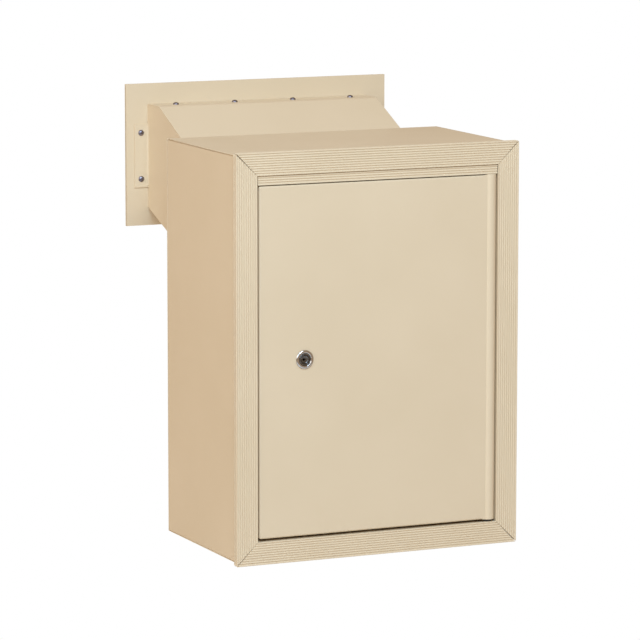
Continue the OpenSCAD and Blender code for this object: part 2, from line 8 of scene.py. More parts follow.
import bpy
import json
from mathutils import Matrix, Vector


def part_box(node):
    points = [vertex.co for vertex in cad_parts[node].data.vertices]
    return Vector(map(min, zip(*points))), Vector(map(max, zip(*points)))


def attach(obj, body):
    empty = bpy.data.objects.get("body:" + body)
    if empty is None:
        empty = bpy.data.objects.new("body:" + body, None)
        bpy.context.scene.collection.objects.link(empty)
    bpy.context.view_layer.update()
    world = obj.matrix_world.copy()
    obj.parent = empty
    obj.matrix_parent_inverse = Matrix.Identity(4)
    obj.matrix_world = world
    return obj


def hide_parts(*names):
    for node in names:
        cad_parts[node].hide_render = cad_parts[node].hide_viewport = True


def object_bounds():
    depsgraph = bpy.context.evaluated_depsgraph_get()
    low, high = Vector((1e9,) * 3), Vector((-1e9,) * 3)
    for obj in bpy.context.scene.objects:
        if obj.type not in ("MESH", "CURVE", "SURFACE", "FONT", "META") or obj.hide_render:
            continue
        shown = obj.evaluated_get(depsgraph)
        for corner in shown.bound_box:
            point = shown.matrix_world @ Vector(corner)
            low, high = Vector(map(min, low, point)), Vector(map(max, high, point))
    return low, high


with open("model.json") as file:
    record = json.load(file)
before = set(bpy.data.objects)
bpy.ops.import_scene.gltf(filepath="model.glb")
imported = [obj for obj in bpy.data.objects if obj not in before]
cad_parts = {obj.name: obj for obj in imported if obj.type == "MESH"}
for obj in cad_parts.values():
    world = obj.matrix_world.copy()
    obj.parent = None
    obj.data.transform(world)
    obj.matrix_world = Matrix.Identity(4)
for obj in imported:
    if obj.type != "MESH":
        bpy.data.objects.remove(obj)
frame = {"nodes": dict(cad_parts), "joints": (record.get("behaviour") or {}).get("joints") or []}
cad_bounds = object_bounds()

# %% Tools and the unit
import json
import math

import bmesh
import bpy
from mathutils import Matrix, Vector

MM = 0.001
X, Y, Z = Vector((1, 0, 0)), Vector((0, 1, 0)), Vector((0, 0, 1))

# %% [markdown]
# ## Places come from the frame
# Each piece is placed by the box of the CAD node that it stands for, or by a joint's axis,
# so nothing is fitted by eye. A node of several fasteners is split into its loose solids,
# because each of them needs a place of its own.

# %% Read boxes and axes
low, high = {}, {}
for name in frame["nodes"]:
    low[name], high[name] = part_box(name)
axis_at = {joint["name"]: Vector(joint["pos_m"]) for joint in frame["joints"]}
front = low["frame_left"].y
print("frame face at y =", round(front, 4), "axes:", {k: tuple(v) for k, v in axis_at.items()})

# %% A merged copy of a node, and the boxes of its loose solids
WELD = 0.002 * MM
FLAT = math.radians(0.5)


def made_whole(bm):
    """Join the triangles of each flat face into one face."""
    bmesh.ops.dissolve_limit(bm, angle_limit=FLAT, verts=bm.verts, edges=bm.edges)


def merged_copy(node):
    """A CAD node's mesh as a bmesh, with its doubles merged and its flat faces made whole."""
    bm = bmesh.new()
    bm.from_mesh(frame["nodes"][node].data)
    bmesh.ops.remove_doubles(bm, verts=bm.verts, dist=WELD)
    made_whole(bm)
    return bm


def solid_boxes(node):
    """The lowest and highest corner of each loose solid of a node, in order of place."""
    bm = merged_copy(node)
    left, boxes = set(bm.verts), []
    while left:
        found, stack = [], [left.pop()]
        while stack:
            vert = stack.pop()
            found.append(vert.co.copy())
            for edge in vert.link_edges:
                other = edge.other_vert(vert)
                if other in left:
                    left.remove(other)
                    stack.append(other)
        lo = Vector([min(co[i] for co in found) for i in range(3)])
        hi = Vector([max(co[i] for co in found) for i in range(3)])
        boxes.append((lo, hi))
    bm.free()
    return sorted(boxes, key=lambda box: tuple(round(v, 5) for v in box[0]))


def middles(node):
    """The middle of each loose solid of a node."""
    return [(lo + hi) / 2 for lo, hi in solid_boxes(node)]


print("tab screws at", [tuple(round(v, 3) for v in lo) for lo, hi in solid_boxes("tab_screws")])

# %% [markdown]
# ## Finishes
# Powder coat is the finish that carries this object. It is sprayed as a dry powder and baked,
# which leaves a satin skin with a shallow orange-peel ripple and a very slight drift in
# colour. An image texture would do, but noise on object coordinates needs no file, has no
# seams and keeps its scale on every piece. The metal parts differ mostly in how sharp their
# reflections are, so each gets its own roughness and a fine cloudiness.


# %% Small helpers for node materials
def new_material(name):
    """A node material, with its shader and the piece's own coordinates."""
    material = bpy.data.materials.new(name)
    material.use_nodes = True
    nodes = material.node_tree.nodes
    place = nodes.new("ShaderNodeTexCoord")
    return material, nodes, material.node_tree.links, nodes["Principled BSDF"], place


def noise(nodes, links, place, scale, detail=3.0):
    """A noise pattern whose features are about 1 / scale metres across."""
    node = nodes.new("ShaderNodeTexNoise")
    node.inputs["Scale"].default_value = scale
    node.inputs["Detail"].default_value = detail
    links.new(place.outputs["Object"], node.inputs["Vector"])
    return node.outputs["Fac"]


def ranged(nodes, links, value, low_value, high_value):
    """Spread a noise value over a range."""
    node = nodes.new("ShaderNodeMapRange")
    node.inputs["From Min"].default_value = 0.3
    node.inputs["From Max"].default_value = 0.7
    node.inputs["To Min"].default_value = low_value
    node.inputs["To Max"].default_value = high_value
    links.new(value, node.inputs["Value"])
    return node.outputs["Result"]


def tinted(nodes, links, value, dark, light):
    """Drift between two colours with a noise value."""
    node = nodes.new("ShaderNodeMix")
    node.data_type = "RGBA"
    node.inputs[6].default_value = (*dark, 1)
    node.inputs[7].default_value = (*light, 1)
    links.new(ranged(nodes, links, value, 0, 1), node.inputs["Factor"])
    return node.outputs[2]


def bumped(nodes, links, height, strength, depth, below=None):
    """Turn a height pattern into a bump, on top of another bump if one is given."""
    node = nodes.new("ShaderNodeBump")
    node.inputs["Strength"].default_value = strength
    node.inputs["Distance"].default_value = depth
    links.new(height, node.inputs["Height"])
    if below:
        links.new(below, node.inputs["Normal"])
    return node.outputs["Normal"]


# %% Powder coat
def powder_coat():
    """Satin paint: a slow drift in colour, an orange-peel ripple and a fine grit."""
    material, nodes, links, shader, place = new_material("powder_coat")
    drift = noise(nodes, links, place, 9, 2)
    links.new(tinted(nodes, links, drift, (0.684, 0.564, 0.392), (0.706, 0.585, 0.412)),
              shader.inputs["Base Color"])
    peel = noise(nodes, links, place, 650, 2)
    grit = noise(nodes, links, place, 2600, 1)
    links.new(ranged(nodes, links, peel, 0.36, 0.46), shader.inputs["Roughness"])
    ripple = bumped(nodes, links, peel, 0.35, 0.05 * MM)
    links.new(bumped(nodes, links, grit, 0.15, 0.02 * MM, ripple), shader.inputs["Normal"])
    shader.inputs["Specular IOR Level"].default_value = 0.45
    return material


# %% Metals
def plated(name, dark, light, rough, grain):
    """A plated metal: a tint that drifts a little, and a fine grain in its polish."""
    material, nodes, links, shader, place = new_material(name)
    cloud = noise(nodes, links, place, grain / 4, 3)
    fine = noise(nodes, links, place, grain, 4)
    links.new(tinted(nodes, links, cloud, dark, light), shader.inputs["Base Color"])
    links.new(ranged(nodes, links, fine, *rough), shader.inputs["Roughness"])
    links.new(bumped(nodes, links, fine, 0.1, 0.01 * MM), shader.inputs["Normal"])
    shader.inputs["Metallic"].default_value = 1.0
    return material


# %% Nylon and rubber
def moulded(name, dark, light, rough, grain, strength):
    """A moulded plastic or rubber with a faint skin texture."""
    material, nodes, links, shader, place = new_material(name)
    skin = noise(nodes, links, place, grain, 3)
    links.new(tinted(nodes, links, skin, dark, light), shader.inputs["Base Color"])
    links.new(ranged(nodes, links, skin, *rough), shader.inputs["Roughness"])
    links.new(bumped(nodes, links, skin, strength, 0.03 * MM), shader.inputs["Normal"])
    return material


# Each has a darker and a lighter colour, a range of roughness and the scale of its grain.
PLATES = {
    "zinc_steel": ((0.17, 0.155, 0.185), (0.27, 0.25, 0.285), (0.3, 0.42), 900),
    "bright_plate": ((0.50, 0.50, 0.50), (0.60, 0.60, 0.60), (0.12, 0.22), 1400),
    # The plug's darker metal is painted reflection: its low base colour stands in for the dark reflections
    # on the lock's face.
    "painted_dark_plate": ((0.12, 0.125, 0.13), (0.18, 0.185, 0.19), (0.2, 0.3), 1400),
}
MOULDINGS = {
    "nylon": ((0.03, 0.03, 0.03), (0.045, 0.045, 0.045), (0.4, 0.5), 700, 0.2),
    "seal_rubber": ((0.018, 0.018, 0.018), (0.035, 0.035, 0.035), (0.7, 0.85), 1200, 0.5),
}
materials = {"powder_coat": powder_coat()}
for name, finish in PLATES.items():
    materials[name] = plated(name, *finish)
for name, finish in MOULDINGS.items():
    materials[name] = moulded(name, *finish)
print("finishes:", sorted(materials))

# %% [markdown]
# ## From a bmesh to a piece
# Every new piece ends in the same way: doubles are merged, faces are turned outwards, and the
# mesh gets smooth shading that breaks at its sharp edges. Weighted normals keep the large
# faces flat while the small bends beside them shade as curves. The alternative, a subdivision
# surface, would need extra loops to hold every fold of the sheet.

# %% Finish a piece
SHARP = math.radians(38)


def piece(name, bm, body, slot, *nodes, finish=None):
    """Make an object of a bmesh that rides on a body and stands for CAD nodes."""
    bmesh.ops.remove_doubles(bm, verts=bm.verts, dist=WELD)
    bmesh.ops.recalc_face_normals(bm, faces=bm.faces)
    open_edges = sum(not edge.is_manifold for edge in bm.edges)
    mesh = bpy.data.meshes.new(name)
    bm.to_mesh(mesh)
    bm.free()
    mesh.shade_smooth()
    mesh.set_sharp_from_angle(angle=SHARP)
    mesh.materials.append(materials[finish or slot])
    obj = bpy.data.objects.new(name, mesh)
    bpy.context.scene.collection.objects.link(obj)
    weights = obj.modifiers.new("flat_faces", "WEIGHTED_NORMAL")
    weights.keep_sharp = True
    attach(obj, body)
    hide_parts(*nodes)
    print(f"{name}: {len(mesh.polygons)} faces, {open_edges} open edges")
    return obj


# %% [markdown]
# ## Shaping operators
# Four short helpers cover most of the metalwork: draw a flat face, pull it into a prism,
# slice with a plane and close the cut, and round chosen edges with a bevel. Holes are cut
# with a boolean, since a bolt hole through a thin sheet has no simple extrusion.


# %% Draw, pull, slice and round
def drawn(bm, corners):
    """A flat face through a few corners."""
    return bm.faces.new([bm.verts.new(corner) for corner in corners])


def pulled(bm, face, offset):
    """Extrude a lone face along an offset, which leaves the start as the other cap."""
    grown = bmesh.ops.extrude_face_region(bm, geom=[face])["geom"]
    moved = [item for item in grown if isinstance(item, bmesh.types.BMVert)]
    bmesh.ops.translate(bm, vec=offset, verts=moved)
    bmesh.ops.recalc_face_normals(bm, faces=bm.faces)


def sliced(bm, point, normal):
    """Cut away what lies past a plane, and close the cut."""
    everything = bm.verts[:] + bm.edges[:] + bm.faces[:]
    cut = bmesh.ops.bisect_plane(bm, geom=everything, dist=WELD, plane_co=point,
                                 plane_no=normal, clear_outer=True)["geom_cut"]
    rim = [item for item in cut if isinstance(item, bmesh.types.BMEdge)]
    bmesh.ops.edgeloop_fill(bm, edges=rim)


def sharp_edges(bm, shortest=0.0, least=30):
    """The edges that turn more than some degrees and are at least so long."""
    return [edge for edge in bm.edges if edge.is_manifold and edge.calc_length() >= shortest
            and edge.calc_face_angle() > math.radians(least)]


def rounded(bm, edges, radius, segments=2):
    """Bevel edges into a small round."""
    bmesh.ops.bevel(bm, geom=edges, offset=radius, offset_type="OFFSET", segments=segments,
                    profile=0.5, affect="EDGES", clamp_overlap=True, material=-1)


# %% Cut one shape with another
def carved(bm, cutter, operation="DIFFERENCE"):
    """A new bmesh: the first shape with the second taken from it or joined to it."""
    shapes = []
    for part in (bm, cutter):
        mesh = bpy.data.meshes.new("shape")
        part.to_mesh(mesh)
        part.free()
        shapes.append(bpy.data.objects.new("shape", mesh))
        bpy.context.scene.collection.objects.link(shapes[-1])
    cut = shapes[0].modifiers.new("cut", "BOOLEAN")
    cut.operation, cut.solver, cut.object = operation, "EXACT", shapes[1]
    result = bmesh.new()
    result.from_object(shapes[0], bpy.context.evaluated_depsgraph_get())
    for shape in shapes:
        bpy.data.meshes.remove(shape.data)
    bmesh.ops.remove_doubles(result, verts=result.verts, dist=WELD)
    return result


def rods(places, direction, radius, length, segments=40):
    """Round rods centred on some places, to drill with."""
    bm = bmesh.new()
    aim = Z.rotation_difference(direction).to_matrix().to_4x4()
    for place in places:
        bmesh.ops.create_cone(bm, cap_ends=True, segments=segments, radius1=radius,
                              radius2=radius, depth=length, matrix=Matrix.Translation(place) @ aim)
    return bm


def box_shape(corner, opposite):
    """A plain block between two corners, to shape further."""
    bm = bmesh.new()
    size = opposite - corner
    place = Matrix.Translation((corner + opposite) / 2)
    bmesh.ops.create_cube(bm, size=1, matrix=place @ Matrix.Diagonal((*size, 1)))
    return bm


# %% Turn a half outline on a lathe
def turned(outline, centre, direction, segments=64):
    """Spin an outline of (radius, distance) points about an axis."""
    bm = bmesh.new()
    verts = [bm.verts.new((radius, 0, along)) for radius, along in outline]
    edges = [bm.edges.new(pair) for pair in zip(verts, verts[1:])]
    if outline[0][0] > 0:  # a ring: its outline closes on itself and not on the axis
        edges.append(bm.edges.new((verts[-1], verts[0])))
    bmesh.ops.spin(bm, geom=verts + edges, cent=(0, 0, 0), axis=Z, angle=2 * math.pi,
                   steps=segments, use_merge=True)
    bmesh.ops.remove_doubles(bm, verts=bm.verts, dist=WELD)
    bmesh.ops.dissolve_degenerate(bm, dist=WELD, edges=bm.edges)
    loose = [face for face in bm.faces if face.calc_area() < WELD * WELD]
    bmesh.ops.delete(bm, geom=loose, context="FACES")
    aim = Z.rotation_difference(direction).to_matrix().to_4x4()
    bmesh.ops.transform(bm, matrix=Matrix.Translation(centre) @ aim, verts=bm.verts)
    bmesh.ops.recalc_face_normals(bm, faces=bm.faces)
    return bm


def arc(centre, radius, start, end, steps=6):
    """Points of a round stretch of an outline, between two angles in degrees."""
    angles = [math.radians(start + (end - start) * i / steps) for i in range(steps + 1)]
    return [(centre[0] + radius * math.cos(a), centre[1] + radius * math.sin(a)) for a in angles]


def ring(inner, outer, start, end, edge):
    """Outline of a ring with rounded outer corners."""
    lower = arc((outer - edge, start + edge), edge, -90, 0, 3)[1:]
    upper = arc((outer - edge, end - edge), edge, 0, 90, 3)
    return [(inner, start), (outer - edge, start)] + lower + upper + [(inner, end)]


# %% [markdown]
# ## The mitred door frame
# The frame is an extruded aluminium section with nine flutes in its face, cut at 45 degrees
# in each corner. Modelling the section once and pulling it to length is how the real bar is
# made. The flutes could be a bump map, but they catch the light at every angle and show in
# outline at the mitres, so they are real grooves here.

# %% Sizes of the section
MEMBER_W = high["frame_right"].x - low["frame_right"].x
RIM_D = low["left_side_panel"].y - front
JAMB_D = high["frame_left"].y - front
METAL_T = 3 * MM
LIP_W = high["frame_left"].x - low["frame_left"].x - MEMBER_W
LIP_T = 2 * MM
FLUTES, FLUTE_PITCH, FLUTE_EDGE = 9, 2.8 * MM, 2.3 * MM
FLUTE_HALF, FLUTE_DEPTH, FLUTE_STEPS = 1.15 * MM, 0.9 * MM, 8
RIM_FLUTES, RIM_FLUTE_DEPTH = (6.3 * MM, 3.3 * MM), 2.1 * MM
MITRE_OUTER, MITRE_INNER = 1.2 * MM, 0.2 * MM
LAND_MARGIN, LAND_ROUND, CORNER_ROUND = 0.7 * MM, 0.14 * MM, 0.6 * MM
CREASE = 50
print("member", round(MEMBER_W / MM, 2), "rim", round(RIM_D / MM, 2), "jamb", round(JAMB_D / MM, 2))


# %% The fluted line and the section
BOWL_START = 20
BOWL_RISE = math.sin(math.radians(BOWL_START))
BOWL = [(x / math.cos(math.radians(BOWL_START)), (y - BOWL_RISE) / (1 - BOWL_RISE))
        for x, y in arc((0, 0), 1, 180 - BOWL_START, BOWL_START, FLUTE_STEPS)]


def fluted_line(first, count, deep):
    """Points of a row of round-bottomed grooves, as (across, depth), with lands between."""
    middles_at = [first + i * FLUTE_PITCH for i in range(count)]
    return [(at + FLUTE_HALF * x, deep * y) for at in middles_at for x, y in BOWL]


def member_section(lip):
    """The bar's section, as (distance from the outer edge, depth behind the face)."""
    inner = MEMBER_W - METAL_T
    section = [(0, 0)] + fluted_line(FLUTE_EDGE, FLUTES, FLUTE_DEPTH) + [(MEMBER_W, 0)]
    if lip:
        section += [(MEMBER_W, JAMB_D - LIP_T), (MEMBER_W + LIP_W, JAMB_D - LIP_T),
                    (MEMBER_W + LIP_W, JAMB_D)]
    else:
        section += [(MEMBER_W, JAMB_D)]
    section += [(inner, JAMB_D), (inner, METAL_T), (METAL_T, METAL_T), (METAL_T, RIM_D), (0, RIM_D)]
    rim = [(RIM_FLUTE_DEPTH * y, at - FLUTE_HALF * x) for at in RIM_FLUTES for x, y in BOWL]
    return section + rim


# %% Pull, round and mitre one bar
def is_land(edge, half):
    """Whether a long edge borders a groove, away from the section's own corners."""
    depth, across = edge.verts[0].co.y - front, edge.verts[0].co.z + half
    on_face = depth < WELD and LAND_MARGIN < across < MEMBER_W - LAND_MARGIN
    return on_face or (across < WELD and LAND_MARGIN < depth < RIM_D - LAND_MARGIN)


def member(length, half, lip=False):
    """A bar along X whose outer edge lies at the bottom, half a frame below the origin."""
    bm = bmesh.new()
    section = [(-length / 2, front + depth, across - half) for across, depth in member_section(lip)]
    pulled(bm, drawn(bm, section), X * length)
    lands = [edge for edge in sharp_edges(bm, length / 2, CREASE) if is_land(edge, half)]
    rounded(bm, lands, LAND_ROUND)
    rounded(bm, sharp_edges(bm, length / 2, CREASE), CORNER_ROUND, 3)
    closing = (MITRE_OUTER - MITRE_INNER) / math.sqrt(2)
    for side in (-1, 1):
        end = Vector((side * (length / 2 - MITRE_OUTER / math.sqrt(2)), front, -half))
        sliced(bm, end, Vector((side * MEMBER_W, 0, MEMBER_W - closing)).normalized())
    return bm


FRAME_HALF_W, FRAME_HALF_H = high["frame_right"].x, high["frame_top"].z
MEMBERS = {
    "frame_bottom": (2 * FRAME_HALF_W, FRAME_HALF_H, 0, False),
    "frame_right": (2 * FRAME_HALF_H, FRAME_HALF_W, -90, False),
    "frame_top": (2 * FRAME_HALF_W, FRAME_HALF_H, 180, False),
    "frame_left": (2 * FRAME_HALF_H, FRAME_HALF_W, 90, True),
}


# %% Drill the bars for what passes through them, and place them
rod_axis = axis_at["door_hinge"]
ROD_R = (high["hinge_rod"].x - low["hinge_rod"].x) / 2
SLEEVE_R = ROD_R + 1 * MM
RIVET_HOLE_R, THIN_SCREW_HOLE_R, THICK_SCREW_HOLE_R = 1.7 * MM, 1.55 * MM, 2.1 * MM
THROUGH, SLEEVE_DRILL = 20 * MM, 8 * MM
sleeve_place = Vector((rod_axis.x, rod_axis.y, low["hinge_bushings"].z))
HOLES = {
    "frame_bottom": rods([sleeve_place], Z, SLEEVE_R, SLEEVE_DRILL),
    "frame_top": rods(middles("header_rivets"), Z, RIVET_HOLE_R, THROUGH),
    "frame_right": rods(middles("bracket_screws"), X, THIN_SCREW_HOLE_R, THROUGH),
}
for name, (length, half, turn, lip) in MEMBERS.items():
    bar = member(length, half, lip)
    about_y = Matrix.Rotation(math.radians(turn), 3, "Y")
    bmesh.ops.rotate(bar, cent=(0, 0, 0), matrix=about_y, verts=bar.verts)
    if name in HOLES:
        bar = carved(bar, HOLES[name])
    piece(name + "_bar", bar, "locker", "powder_coat", name)

# %% [markdown]
# ## The header strip
# A narrow strip with three flutes fills the space between the door and the top of the frame.
# It hangs from the frame by rivets through its folded top edge.

# %% Header strip
HEADER = {"front": low["header_strip"].y, "foot": low["header_strip"].z, "head": high["header_strip"].z,
          "back": high["header_strip"].y, "end": high["header_strip"].x}
HEADER_T = 1.5 * MM
HEADER_FLUTES, HEADER_FLUTE_DEPTH = 3, 0.9 * MM
HEADER_GAP, HEADER_EDGE = 1 * MM, 0.15 * MM


def header_strip():
    """A fluted strip whose top edge is folded back, with holes for its rivets."""
    bm = bmesh.new()
    top, depth = HEADER["head"] - HEADER_GAP, HEADER["back"] - HEADER["front"]
    middle = (HEADER["foot"] + top) / 2
    first = middle - (HEADER_FLUTES - 1) / 2 * FLUTE_PITCH
    outline = [(HEADER["foot"], 0)] + fluted_line(first, HEADER_FLUTES, HEADER_FLUTE_DEPTH)
    outline += [(top, 0), (top, HEADER_T), (HEADER["head"], HEADER_T), (HEADER["head"], depth),
                (top - HEADER_T, depth), (top - HEADER_T, HEADER_T), (HEADER["foot"], HEADER_T)]
    corners = [(-HEADER["end"], HEADER["front"] + behind, height) for height, behind in outline]
    pulled(bm, drawn(bm, corners), X * 2 * HEADER["end"])
    rounded(bm, sharp_edges(bm, HEADER["end"]), HEADER_EDGE)
    return carved(bm, rods(middles("header_rivets"), Z, RIVET_HOLE_R, THROUGH))


piece("header_strip_bar", header_strip(), "locker", "powder_coat", "header_strip")

# %% [markdown]
# ## Softened sheets
# Many sheets already have the right shape in the frame, and only their edges are too sharp to
# look like metal. A merged copy takes a small bevel on its long edges. Short edges round the
# holes are left out, because one tiny edge would hold back the bevel of all the others.


# %% A copy with rounded edges
LONG_EDGE = 3 * MM
SHEET_EDGE = 0.3 * MM


def softened(node, radius, segments=2, shortest=LONG_EDGE):
    """A merged copy of a CAD node with its long sharp edges rounded."""
    bm = merged_copy(node)
    rounded(bm, sharp_edges(bm, shortest), radius, segments)
    return bm


SHEETS = {
    "top_panel": 0.4, "bottom_panel": 0.4, "back_panel": 0.35, "chute_floor": 0.4,
    "flap_brackets": 0.4,
}
for node, radius in SHEETS.items():
    piece(node + "_sheet", softened(node, radius * MM), "locker", "powder_coat", node)

# %% [markdown]
# ## The wall plate
# The plate is two sheets back to back, so a dark line runs round its edge between them. A
# shallow groove cut in all four edges gives that line from every side.

# %% Plate with a grooved edge
GROOVE_DEPTH, GROOVE_SKIN = 3 * MM, 0.9 * MM


def wall_plate():
    """The plate with a groove down its left, right, lower and upper edge."""
    lo, hi = low["wall_plate"], high["wall_plate"]
    skin, deep = Y * GROOVE_SKIN, GROOVE_DEPTH
    bm = merged_copy("wall_plate")
    for near, far in (((lo.x, lo.z), (lo.x + deep, hi.z)), ((hi.x - deep, lo.z), (hi.x, hi.z)),
                      ((lo.x, lo.z), (hi.x, lo.z + deep)), ((lo.x, hi.z - deep), (hi.x, hi.z))):
        corner = Vector((near[0], lo.y, near[1])) + skin
        opposite = Vector((far[0], hi.y, far[1])) - skin
        # The cutter stands a little proud wherever it meets the plate's outside.
        proud_low = Vector((MM if near[0] == lo.x else 0, 0, MM if near[1] == lo.z else 0))
        proud_high = Vector((MM if far[0] == hi.x else 0, 0, MM if far[1] == hi.z else 0))
        bm = carved(bm, box_shape(corner - proud_low, opposite + proud_high))
    rounded(bm, sharp_edges(bm, LONG_EDGE), SHEET_EDGE)
    return bm


piece("wall_plate_sheets", wall_plate(), "locker", "powder_coat", "wall_plate")

# %% [markdown]
# ## Side skins with their hem slits
# Along its top and bottom the side skin is folded back on itself, and the slit of that hem
# shows as a thin dark line that closes a little towards the middle. Where the skin meets the
# back there is a narrow step. Both are cut with a boolean, since they run across a sheet that
# already has its flanges.

# %% Cut the slits
SLIT_DEPTH, SLIT_LIP = 1.4 * MM, 0.3 * MM
SLIT_WIDE, SLIT_NARROW = 1.2 * MM, 0.55 * MM
STEP_BACK = 1.2 * MM


def hem_slit(lo, hi, upper):
    """A long wedge-ended blade at the hem of a side skin, to cut its slit with."""
    outer = hi.z - SLIT_LIP
    ends = (lo.y - MM, hi.y + MM)
    third = (hi.y - lo.y) / 3
    outline = [(ends[0], outer - SLIT_WIDE), (ends[1], outer - SLIT_WIDE), (ends[1], outer),
               (hi.y - third, outer - SLIT_WIDE + SLIT_NARROW),
               (lo.y + third, outer - SLIT_WIDE + SLIT_NARROW), (ends[0], outer)]
    side = 1 if upper else -1
    bm = bmesh.new()
    pulled(bm, drawn(bm, [(lo.x - MM, y, side * z) for y, z in outline]), X * (MM + SLIT_DEPTH))
    return bm


def side_skin(node):
    """A side skin on the left; the right one is its mirror image."""
    lo, hi = low["left_side_panel"], high["left_side_panel"]
    bm = merged_copy("left_side_panel")
    for upper in (True, False):
        bm = carved(bm, hem_slit(lo, hi, upper))
    step = box_shape(Vector((lo.x - MM, hi.y - STEP_BACK, lo.z - MM)),
                     Vector((lo.x + SLIT_DEPTH, hi.y + MM, hi.z + MM)))
    bm = carved(bm, step)
    made_whole(bm)
    rounded(bm, sharp_edges(bm, LONG_EDGE), SHEET_EDGE)
    if node == "right_side_panel":
        bmesh.ops.scale(bm, vec=(-1, 1, 1), verts=bm.verts)
    return bm


for node in ("left_side_panel", "right_side_panel"):
    piece(node + "_sheet", side_skin(node), "locker", "powder_coat", node)

# %% [markdown]
# ## Chute sides
# Each side of the chute ends in a tab that is screwed to the wall plate. The press leaves a
# small inner radius where the tab turns out of the side, which catches the light as a thin
# upright line, so a fillet strip is joined into that corner.

# %% Sides with a filleted tab
ROOF_T = 1.5 * MM
FILLET_R, EMBED = 2.5 * MM, 0.55 * MM
CHUTE_EDGE = 0.4 * MM


def chute_side(node):
    """A chute side on the left with its fillet; the right one is its mirror image."""
    left = "chute_left_side"
    corner_x, tab_face = low["chute_roof"].x, high[left].y - ROOF_T
    bm = merged_copy(left)
    tab = [vert.co.z for vert in bm.verts if vert.co.x < corner_x - 2 * ROOF_T]
    centre = (corner_x - FILLET_R, tab_face - FILLET_R)
    outline = arc(centre, FILLET_R, 0, 90, 6)
    outline += [(centre[0], tab_face + EMBED), (corner_x + EMBED, tab_face + EMBED),
                (corner_x + EMBED, centre[1])]
    strip = bmesh.new()
    foot, head = min(tab) + FILLET_R, max(tab) - FILLET_R
    pulled(strip, drawn(strip, [(x, y, foot) for x, y in outline]), Z * (head - foot))
    bm = carved(bm, strip, "UNION")
    made_whole(bm)
    rounded(bm, sharp_edges(bm, LONG_EDGE), CHUTE_EDGE)
    if node != left:
        bmesh.ops.scale(bm, vec=(-1, 1, 1), verts=bm.verts)
    return bm


for node in ("chute_left_side", "chute_right_side"):
    piece(node + "_sheet", chute_side(node), "locker", "powder_coat", node)

# %% [markdown]
# ## The chute roof
# The roof is one sheet with a single bend: a level ledge that is screwed down at the plate,
# and a long slope down into the locker. It is built the way a brake press makes it, from a
# flat strip that is folded and then given its thickness.

# %% Fold the roof
BEND_R, BEND_STEPS = 3 * MM, 5


def chute_roof():
    """A flat ledge and the slope that its fold line turns down into the locker."""
    lo, hi = low["chute_roof"], high["chute_roof"]
    corners = merged_copy("chute_roof")
    fold = min(vert.co.y for vert in corners.verts
               if vert.co.z > hi.z - WELD and vert.co.x < lo.x + WELD)
    slope_end = max(vert.co.z for vert in corners.verts if vert.co.y < lo.y + WELD)
    corners.free()
    bm = bmesh.new()
    drawn(bm, [(lo.x, hi.y, hi.z), (hi.x, hi.y, hi.z), (hi.x, fold, hi.z), (lo.x, fold, hi.z)])
    edge = [item for item in bm.edges if all(abs(vert.co.y - fold) < WELD for vert in item.verts)]
    grown = bmesh.ops.extrude_edge_only(bm, edges=edge)["geom"]
    moved = [item for item in grown if isinstance(item, bmesh.types.BMVert)]
    bmesh.ops.translate(bm, vec=(0, lo.y - fold, slope_end - hi.z), verts=moved)
    bend = [item for item in bm.edges if len(item.link_faces) == 2]
    rounded(bm, bend, BEND_R, BEND_STEPS)
    bmesh.ops.recalc_face_normals(bm, faces=bm.faces)
    if sum((face.normal for face in bm.faces), Vector()).z < 0:
        bmesh.ops.reverse_faces(bm, faces=bm.faces)
    bmesh.ops.solidify(bm, geom=bm.faces[:], thickness=ROOF_T)
    rounded(bm, sharp_edges(bm, LONG_EDGE, 60), SHEET_EDGE)
    return carved(bm, rods(middles("ledge_screws"), Z, THICK_SCREW_HOLE_R, THROUGH))


piece("chute_roof_sheet", chute_roof(), "locker", "powder_coat", "chute_roof")

# %% [markdown]
# ## The door
# The door is a shallow tray: a skin with folded edges on three sides, and a rolled barrel
# along the hinge side that turns on a steel rod. A block with its back and hinge-side faces
# removed gives the tray, a bevel gives the bends, and solidify gives the sheet's thickness.

# %% Sizes of the door
DOOR_T = 2 * MM
DOOR_FOLD = 12 * MM
DOOR_RECESS = 1.5 * MM
ROLL_R = high["door_panel"].x - rod_axis.x
ROLL_OVER = 0.3 * MM
HEADER_CLEAR = 1 * MM
TONGUE, DOOR_BEND_R, DOOR_BEND_STEPS = 2 * MM, 2.4 * MM, 4
PLAY, BARREL_EDGE = 0.05 * MM, 0.5 * MM
BORE_R = ROD_R + PLAY
LARGE_STEPS, WHOLE_DOOR = 96, 1
hinge_line = Vector((rod_axis.x, rod_axis.y, 0))
door_foot = low["door_panel"].z + ROLL_OVER
door_head = HEADER["foot"] - HEADER_CLEAR
print("roll radius", round(ROLL_R / MM, 2), "door", round((door_head - door_foot) / MM, 1), "mm high")


